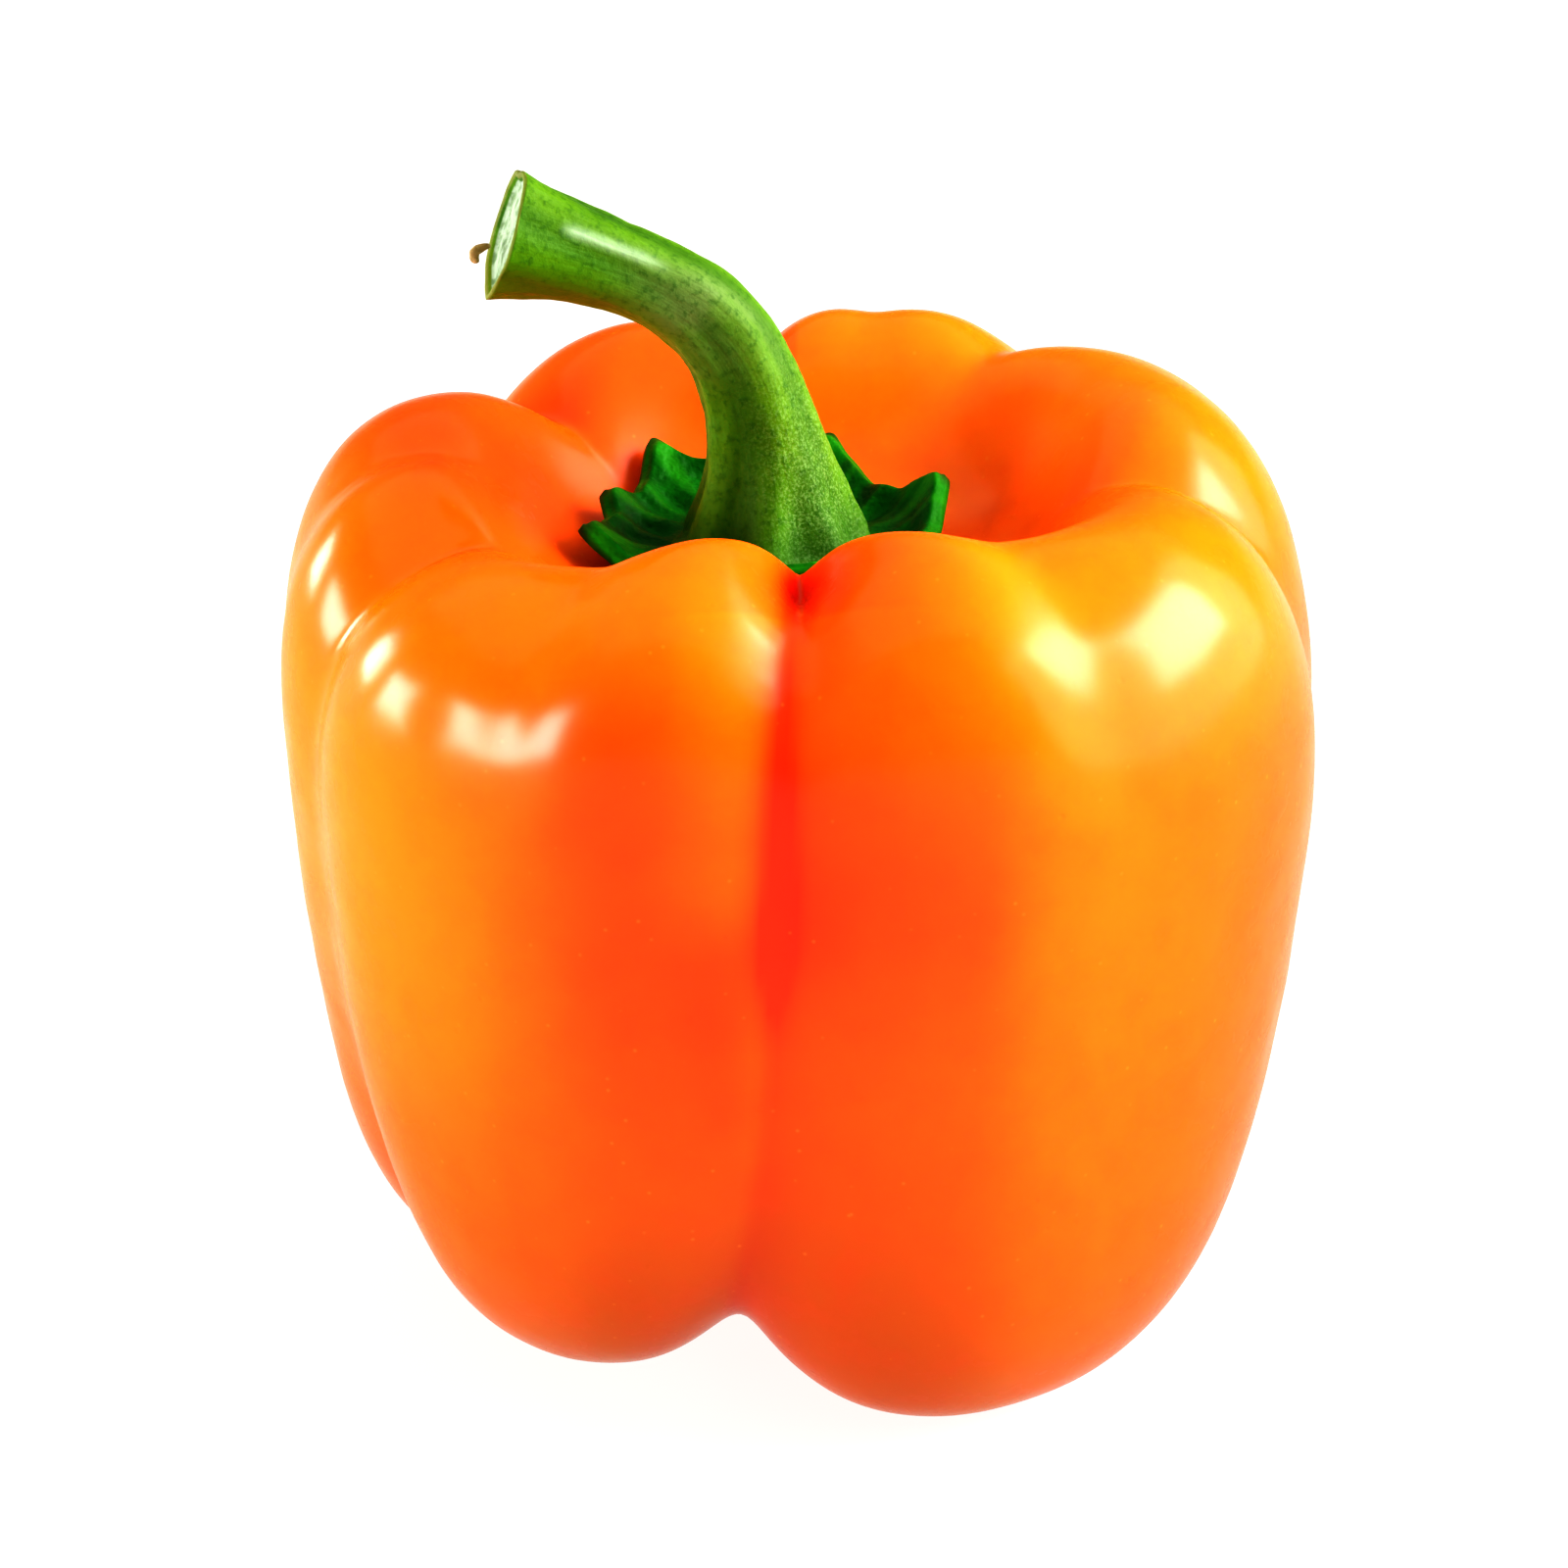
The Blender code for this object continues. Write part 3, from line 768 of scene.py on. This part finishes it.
def stem_finish():
    """Fresh green rind, streaked lengthways and speckled, with a pale cut face."""
    finish = Finish("stem_rind_finish")
    cream = linear(166, 182, 158)
    brown = linear(134, 124, 70)
    mottled = linear(112, 134, 98)
    clouds = finish.noise(130.0, 4.0, 0.6)
    speckle = finish.noise(1500.0, 3.0, 0.65)
    streaks = finish.noise(1.0, 3.0, 0.6, finish.streak_place())
    colour = rind_colour(finish, clouds, speckle, streaks)
    colour = finish.mix(finish.span(finish.value("cut_rim"), 0.2, 0.8, 0.0, 0.6), colour, brown)
    flesh = finish.mix(finish.span(finish.noise(700.0, 3.0, 0.6), 0.42, 0.62), cream, mottled)
    colour = finish.mix(finish.span(finish.value("cut_face"), 0.2, 0.8), colour, flesh)
    finish.set(Base_Color=colour)
    finish.set(Roughness=finish.span(speckle, 0.3, 0.7, 0.52, 0.68), IOR=1.33)
    finish.set(Specular_Tint=(0.75, 1.0, 0.55, 1.0))
    finish.set(Subsurface_Weight=0.1, Subsurface_Scale=2.0 * MM)
    finish.set(Subsurface_Radius=(0.5, 1.0, 0.2))
    grain = finish.bump(speckle, 0.09)
    finish.set(Normal=finish.bump(streaks, 0.24, under=grain))
    return finish.material


def fibre_finish():
    """Dry straw-brown fibre."""
    finish = Finish("stem_fibre_finish")
    tint = finish.span(finish.noise(900.0, 3.0, 0.6), 0.35, 0.65)
    finish.set(Base_Color=finish.mix(tint, linear(150, 122, 70), linear(214, 194, 146)))
    finish.set(Roughness=0.7)
    finish.set(Normal=finish.bump(finish.noise(2600.0, 2.0, 0.6), 0.05))
    return finish.material


def skin_flush(azimuth, at, degrees, height):
    """How red the skin is: in any crease, down the front, and beside the front crease."""
    # The red is partly the skin's own and partly painted shade in the creases and down the front.
    grooves = np.clip(1.0 - lobe_share(azimuth, at), 0.0, 1.0)
    flush = grooves * blend(*CREASE_FLUSH, ramp(height, *CREASE_FLUSH_HEIGHTS))
    upward = blend(FLUSH_LOW_SHARE, 1.0, ramp(height, *FLUSH_LOW_HEIGHTS))
    for centre, spread, strength, start, full in FRONT_FLUSHES:
        downward = ramp(height, start, full)
        flush = flush + strength * bell(degrees, centre, spread) * downward * upward
    off = degrees - by_level(GROOVES[0][1], height_share(at))
    place, width, strength = RED_LINE
    line = strength * bell(off, place, width) * plateau(height, *RED_LINE_HEIGHTS)
    beside = ramp(off, *BESIDE_LINE) * ramp(degrees, *BESIDE_LINE_END) * (1.15 - degrees / 60.0)
    middle, spread, extra = BESIDE_LINE_MIDDLE
    beside = beside * (BESIDE_LINE_STRENGTH + extra * bell(height, middle, spread))
    return np.clip(flush + line + beside, 0.0, MOST_FLUSH)


def skin_colouring(azimuth, at, points):
    """Where the skin is flushed red, where it is yellow, and where it is a deeper orange."""
    x, y, height = points[..., 0], points[..., 1], points[..., 2]
    degrees = np.degrees(angle_between(azimuth, 0.0))
    crown = ramp(height, *CROWN_COLOUR)
    left = plateau(degrees, *LEFT_SIDE)
    # Painted shade: a deeper orange on the right side, against the strong light from that side.
    right = plateau(degrees, *RIGHT_SIDE) * blend(1.0, RIGHT_CROWN_SHARE, crown)
    # Yellow on the left flank and the crown, partly painted light.
    yellow_and_light = YELLOW_FLANK * left * ramp(height, *YELLOW_FLANK_HEIGHTS) * (1.0 - crown)
    for centre, spread, strength in YELLOW_SPOTS:
        yellow_and_light = yellow_and_light + strength * crown * bell(degrees, centre, spread)
    past_shoulder = at > PROFILE_NAMES.index("shoulder")
    # Partly painted shade: a deeper orange inside the crown's hollow.
    inside = past_shoulder * ramp(np.hypot(x, y), *RIPE_AND_SHADE_INSIDE_RADII)
    inside = inside * blend(0.45, 1.0, ramp(y, 18.0, 2.0)) * blend(1.0, 0.4, ramp(x, 0.0, 16.0))
    behind = crown * ramp(x, 0.0, -20.0) * ramp(y, -8.0, 6.0)
    beside = crown * ramp(degrees, *RIPE_LEFT_AZIMUTHS)
    ripe_and_shade = RIPE_AND_SHADE_INSIDE * inside + RIPE_BEHIND * behind + RIPE_LEFT * beside + right
    return {
        "flush": skin_flush(azimuth, at, degrees, height),
        "yellow_and_light": np.clip(yellow_and_light, 0.0, 1.0),
        "ripe_and_shade": np.clip(ripe_and_shade, 0.0, 1.0),
        # Painted shade near the ground, weaker on the right side.
        "low": ramp(height, *GROUND_SHADE_HEIGHTS) * blend(1.0, GROUND_SHADE_RIGHT_SHARE, ramp(x, 0.0, 30.0)),
    }


def make_fruit():
    """The fruit's skin, with soft swellings and the scar of the blossom underneath."""
    azimuth, at = fruit_grid(FRUIT_ROWS, FRUIT_COLUMN_DEGREES)
    rings = skin_point(azimuth, at)
    normal = outward(rings)
    swell = lumps(rings, SKIN_LUMPS) * ramp(rings[..., 2], *SKIN_LUMPS_START)
    rings = rings + normal * swell[..., None]
    pole_distance = np.hypot(rings[..., 0], rings[..., 1])
    under = at < LAST_STEP / 2.0
    scar = np.where(under, 1.0 - ramp(pole_distance, SCAR_INNER, SCAR_OUTER), 0.0)
    rings[..., 2] -= SCAR_DEPTH * scar
    # The feet are pressed flat on the ground.
    rings[..., 2] = np.maximum(rings[..., 2], 0.0)
    values = {**skin_colouring(azimuth, at, rings), "scar": scar}
    bottom = skin_point(np.zeros(1), np.array([0.0])) - (0.0, 0.0, SCAR_DEPTH)
    top = skin_point(np.zeros(1), np.array([float(LAST_STEP)]))
    fruit = object_of("pepper_skin", bottom, rings, top, values)
    fruit.data.materials.append(skin_finish())
    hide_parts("fruit")
    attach(fruit, BODY)


def calyx_edge(azimuth):
    """How near a tooth's tip is, from 1 at the tip to 0, and the edge's radius and curl."""
    places = np.radians([tooth[0] for tooth in CALYX_TEETH])
    tip_radii = np.array([tooth[1] for tooth in CALYX_TEETH])
    tip_curls = np.array([tooth[2] for tooth in CALYX_TEETH])
    off = angle_between(azimuth[..., None], places)
    distance = rounded_distance(off, math.radians(TOOTH_ROUNDING))
    shares = np.exp(-distance / math.radians(TOOTH_SPREAD))
    near = shares**2 / (shares**2).sum(-1, keepdims=True)
    share = shares.max(-1)
    radius = CALYX_BAY_RADIUS + (shares * (tip_radii - CALYX_BAY_RADIUS)).max(-1)
    curl = CALYX_BAY_CURL + share * (near * (tip_curls - CALYX_BAY_CURL)).sum(-1)
    return share, radius, curl


def midrib_share(azimuth):
    """1 along the middle of each calyx tooth, falling off quickly to its sides."""
    places = np.radians([tooth[0] for tooth in CALYX_TEETH])
    off = angle_between(azimuth[..., None], places)
    return bell(off, 0.0, math.radians(MIDRIB_WIDTH)).max(-1)


def calyx_faces(azimuth, share):
    """The calyx's under and upper face at a share of its radius, and where its veins,
    its tips and its rim are."""
    tooth, edge_radius, curl = calyx_edge(azimuth)
    radius = edge_radius * share
    across = STALK_PLACE[0] + radius * np.sin(azimuth)
    along = STALK_PLACE[1] - radius * np.cos(azimuth)
    skin = cavity_height(np.arctan2(across, -along), np.hypot(across, along))
    outer = ramp(radius, CURL_START * HUB_RADIUS, edge_radius)
    under = skin + CALYX_GAP + curl * outer**2
    thickness = blend(CALYX_THICKNESS, CALYX_RIM_THICKNESS, outer)
    wave = 0.5 + 0.5 * np.sin(azimuth * FOLDS + FOLD_WANDER * np.sin(azimuth * 3.0))
    rib = midrib_share(azimuth)
    fold = MIDRIB_HEIGHT * rib * ease(share * MIDRIB_RISE) * (1.0 - 0.4 * outer)
    fold = fold + FOLD_HEIGHT * wave * ramp(share, 0.5, 0.75) * (1.0 - 0.7 * rib)
    edge = ramp(share, EDGE_START, 1.0)
    roll = ROLL_HEIGHT * ramp(share, 0.75, 0.95) * (1.0 - edge)
    leaf = under + thickness + fold + roll - EDGE_DROOP * thickness * edge
    upper = blend(leaf, HUB_HEIGHT, ease((HUB_RADIUS * HUB_TOP - radius) / HUB_EDGE))
    low = np.stack([across, along, under], -1)
    high = np.stack([across, along, upper], -1)
    vein = np.maximum(rib**2, 0.7 * wave**4) * ease(share * 1.6 - 0.5)
    return low, high, vein, tooth * ramp(share, 0.8, 1.0), ramp(share, 0.86, 1.0)


def both_faces(grid):
    """A calyx grid repeated for its under face, its edge and, back again, its upper face."""
    return np.vstack([grid, grid[-1:], grid[::-1]])


def make_calyx():
    """The leafy cap round the stem's foot, folded along each tooth, with curled tips."""
    azimuth = np.broadcast_to(full_turn(CALYX_COLUMNS), (CALYX_ROWS, CALYX_COLUMNS))
    share = np.sqrt(np.linspace(1.0 / CALYX_ROWS, 1.0, CALYX_ROWS))[:, None] * np.ones(azimuth.shape)
    low, high, vein, tip, rim = calyx_faces(azimuth, share)
    edge = (low[-1:] + high[-1:]) / 2.0
    outward_edge = edge - np.array([STALK_PLACE[0], STALK_PLACE[1], 0.0])
    outward_edge[..., 2] = 0.0
    outward_edge /= np.linalg.norm(outward_edge, axis=-1, keepdims=True)
    edge = edge + outward_edge * CALYX_RIM_THICKNESS * EDGE_BULGE
    rings = np.vstack([low, edge, high[::-1]])
    rings[..., 2] += lumps(rings, CALYX_LUMPS) * ramp(both_faces(share), 0.6, 0.8)
    values = {"vein": both_faces(vein), "tip": both_faces(tip), "rim": both_faces(rim)}
    middle = calyx_faces(np.zeros(1), np.zeros(1))
    calyx = object_of("calyx_leaf", middle[0], rings, middle[1], values)
    calyx.data.materials.append(calyx_finish())
    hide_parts("calyx")
    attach(calyx, BODY)


def stem_frames(at):
    """At each step of the stem: its middle, its radius, two unit vectors across it and
    the one along it."""
    line = line_point(STEM_LINE, at)
    reach = 0.01
    ahead = line_point(STEM_LINE, np.minimum(at + reach, len(STEM_LINE) - 1.0))
    behind = line_point(STEM_LINE, np.maximum(at - reach, 0.0))
    along = (ahead - behind)[:, :3]
    along[0] = (0.0, 0.0, 1.0)
    along /= np.linalg.norm(along, axis=1, keepdims=True)
    front = np.array([0.0, -1.0, 0.0])
    across = front - along * (along @ front)[:, None]
    across /= np.linalg.norm(across, axis=1, keepdims=True)
    side = np.cross(along, across)
    return line[:, :3], line[:, 3], across, side, along


def stem_waves(share, turn):
    """The waves of the stem's main ridges, its fine ridges and its foot's buttresses."""
    twisted = turn - math.radians(RIDGE_TWIST) * share
    main = np.cos(STEM_RIDGES * twisted)
    wander = FINE_RIDGE_WANDER * np.sin(4.0 * share + 3.0 * turn)
    fine = np.cos(FINE_RIDGES * twisted + wander)
    buttress = np.cos(BUTTRESSES * turn + BUTTRESS_PLACE - BUTTRESS_TWIST * share) - 0.5
    buttress = buttress * (1.0 - ease(share / BUTTRESS_REACH)) * ease(share / BUTTRESS_START)
    return main, fine, buttress


def make_stem():
    """The ridged, twisted stem with its buttressed foot and its cut end."""
    last = len(STEM_LINE) - 1.0
    at = np.linspace(0.0, last, STEM_ROWS)
    middle, radius, across, side, along = stem_frames(at)
    turn = full_turn(STEM_COLUMNS)
    main, fine, buttress = stem_waves((at / last)[:, None], turn[None, :])
    relief = RIDGE_DEPTH * main + FINE_RIDGE_DEPTH * fine + BUTTRESS_DEPTH * buttress
    spread = radius[:, None] * (1.0 + relief)
    arms = spokes(across, side, turn)
    rings = middle[:, None, :] + arms * spread[..., None]
    rings = rings + arms * lumps(rings, STEM_LUMPS)[..., None]
    rings[0, :, 2] = middle[0, 2]
    foot_inner = middle[0] + arms[0] * spread[0][:, None] * FOOT_RING
    uneven = 1.0 + sum(depth * np.cos(waves * turn + start) for depth, waves, start in CUT_WAVES)
    caps = []
    for size, past in CUT_RINGS:
        cut_radius = (spread[-1] * size * uneven)[:, None]
        caps.append(middle[-1] + arms[-1] * cut_radius + along[-1] * past)
    rings = np.concatenate([foot_inner[None], rings, np.array(caps)])
    cut_middle = middle[-1:] - along[-1] * CUT_FACE_DIP
    values = stem_colouring(at / last, turn, main + BUTTRESS_SHADE * buttress, arms)
    stem = object_of("stem_rind", middle[:1], rings, cut_middle, values)
    stem.data.materials.append(stem_finish())
    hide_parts("stem")
    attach(stem, BODY)


def stem_colouring(share, turn, ridges, arms):
    """Named numbers for the stem's finish at each of its ring points."""
    ends = len(CUT_RINGS)

    def whole(grid):
        """Repeats the first row for the foot's ring and the last one for the cut's."""
        return np.concatenate([grid[:1], grid, np.repeat(grid[-1:], ends, 0)])

    step = np.concatenate([[0.0], share, np.ones(ends)])[:, None]
    flat = np.ones((len(step), len(turn)))
    up = whole(arms[..., 2])
    right = whole(arms[..., 0])
    front = whole(-arms[..., 1])
    # The rind's last ring is half as brown as the cut's own rim.
    rind_rows = len(share)
    face = [0.0] * (rind_rows + 1) + [float(size < CUT_FLESH_SHARE) for size, _ in CUT_RINGS]
    edge = [0.0] * rind_rows + [0.5] + [float(size > CUT_RIM_SHARE) for size, _ in CUT_RINGS]
    # Where the painted highlight streak runs round the stem.
    streak_highlight = bell(angle_between(turn[None, :], STREAK_HIGHLIGHT_TURN), 0.0, STREAK_HIGHLIGHT_WIDTH)
    lit = ease(0.4 + 0.7 * np.maximum(up, right))
    # Grey on the bend, facing the front: partly waxy bloom, partly painted sheen.
    bloom_and_sheen = bell(step, *GREY_BEND) * ramp(front, -0.1, 0.5) * ramp(np.abs(up - 0.1), 0.9, 0.4)
    return {
        "along": step * flat,
        # Painted shade in the hollows between the ridges and buttresses.
        "ridge_shade": np.clip(whole(ridges) * 0.5 + 0.5, 0.0, 1.0),
        "lit": lit * blend(LIT_FOOT_SHARE, 1.0, ramp(step, *LIT_REACH)),
        # Painted bounce light from the fruit on the stem's underside.
        "under": ease(-up) * ramp(step, *BOUNCE_REACH),
        "bloom_and_sheen": bloom_and_sheen,
        # Pale flecks on the right side: partly powder, partly painted glints.
        "powder_and_glints": ramp(right, -0.5, 0.5) * ramp(step, *POWDER_AND_GLINT_REACH) * flat,
        "round_cosine": STREAKS_ROUND * np.cos(turn)[None, :] * flat,
        "round_sine": STREAKS_ROUND * np.sin(turn)[None, :] * flat,
        "run": STREAKS_ALONG * step * flat,
        "streak_highlight": streak_highlight * plateau(step, *STREAK_HIGHLIGHT_REACH),
        "cut_face": np.array(face)[:, None] * flat,
        "cut_rim": np.array(edge)[:, None] * flat,
    }


def make_fibre():
    """A short curled wisp of dry fibre in the middle of the cut."""
    at = np.linspace(0.0, len(FIBRE_LINE) - 1.0, FIBRE_ROWS)
    line = line_point(FIBRE_LINE, at)
    way = np.gradient(line[:, :3], axis=0)
    way /= np.linalg.norm(way, axis=1, keepdims=True)
    first = np.cross(way, np.array([0.0, 1.0, 0.0]))
    first /= np.linalg.norm(first, axis=1, keepdims=True)
    arms = spokes(first, np.cross(way, first), full_turn(FIBRE_COLUMNS))
    taper = np.sqrt(np.clip(1.0 - np.linspace(*FIBRE_ENDS, FIBRE_ROWS) ** 4, 0.0, 1.0))
    rings = line[:, None, :3] + arms * (line[:, 3] * taper)[:, None, None]
    rings = rings + arms * lumps(rings, FIBRE_LUMPS)[..., None]
    fibre = object_of("stem_fibre", line[:1, :3], rings, line[-1:, :3])
    fibre.data.materials.append(fibre_finish())
    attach(fibre, BODY)


def make_camera():
    """The photo's view, from the front and above, through a long lens."""
    data = bpy.data.cameras.new("camera")
    data.lens = CAMERA_LENS
    data.sensor_width = CAMERA_SENSOR
    camera = bpy.data.objects.new("camera", data)
    bpy.context.scene.collection.objects.link(camera)
    tilt = math.radians(CAMERA_ELEVATION)
    back = Vector((0.0, -math.cos(tilt), math.sin(tilt)))
    up = Vector((0.0, math.sin(tilt), math.cos(tilt)))
    target = Vector((*AXIS_PLACE, CAMERA_TARGET_HEIGHT)) * MM
    camera.location = target + back * CAMERA_DISTANCE
    aim = target + Vector((CAMERA_AIM_RIGHT * MM, 0.0, 0.0)) + up * CAMERA_AIM_UP * MM
    gaze = aim - camera.location
    camera.rotation_euler = gaze.to_track_quat("-Z", "Y").to_euler()
    bpy.context.scene.camera = camera


def make_lights():
    """The soft boxes, each turned towards the pepper."""
    for name, azimuth, elevation, distance, width, height, brightness, tint in SOFT_BOXES:
        data = bpy.data.lights.new(name, "AREA")
        data.shape = "RECTANGLE"
        data.size = width
        data.size_y = height
        data.energy = brightness * math.pi * width * height
        data.color = tint
        lamp = bpy.data.objects.new(name, data)
        bpy.context.scene.collection.objects.link(lamp)
        a = math.radians(azimuth)
        e = math.radians(elevation)
        away = Vector((math.sin(a) * math.cos(e), -math.cos(a) * math.cos(e), math.sin(e)))
        lamp.location = LIGHT_TARGET + away * distance
        lamp.rotation_euler = away.to_track_quat("Z", "Y").to_euler()


def make_world():
    """A dim, warm sky, and a contrast close to the photo's."""
    world = bpy.data.worlds.new("studio")
    world.use_nodes = True
    sky = world.node_tree.nodes["Background"]
    sky.inputs["Color"].default_value = (*WARM, 1.0)
    sky.inputs["Strength"].default_value = SKY_STRENGTH
    bpy.context.scene.world = world
    bpy.context.scene.view_settings.view_transform = "Standard"
    bpy.context.scene.view_settings.look = "Very High Contrast"


def make_floor():
    """A plain pale floor, wide enough to fill the view from any side."""
    half = FLOOR_HALF
    mesh = bpy.data.meshes.new("floor")
    corners = [(-half, -half, 0.0), (half, -half, 0.0), (half, half, 0.0), (-half, half, 0.0)]
    mesh.from_pydata(corners, [], [(0, 1, 2, 3)])
    floor = bpy.data.objects.new("floor", mesh)
    bpy.context.scene.collection.objects.link(floor)
    finish = Finish("floor_finish")
    cloud = finish.span(finish.noise(6.0, 2.0), 0.3, 0.7)
    dark, light = ((grey, grey, grey, 1.0) for grey in FLOOR_GREYS)
    finish.set(Base_Color=finish.mix(cloud, dark, light))
    finish.set(Roughness=0.9, Specular_IOR_Level=0.1)
    finish.set(Emission_Color=FLOOR_GLOW_COLOUR, Emission_Strength=FLOOR_GLOW)
    mesh.materials.append(finish.material)


make_camera()
make_world()
make_lights()
make_floor()
make_fruit()
make_calyx()
make_stem()
make_fibre()
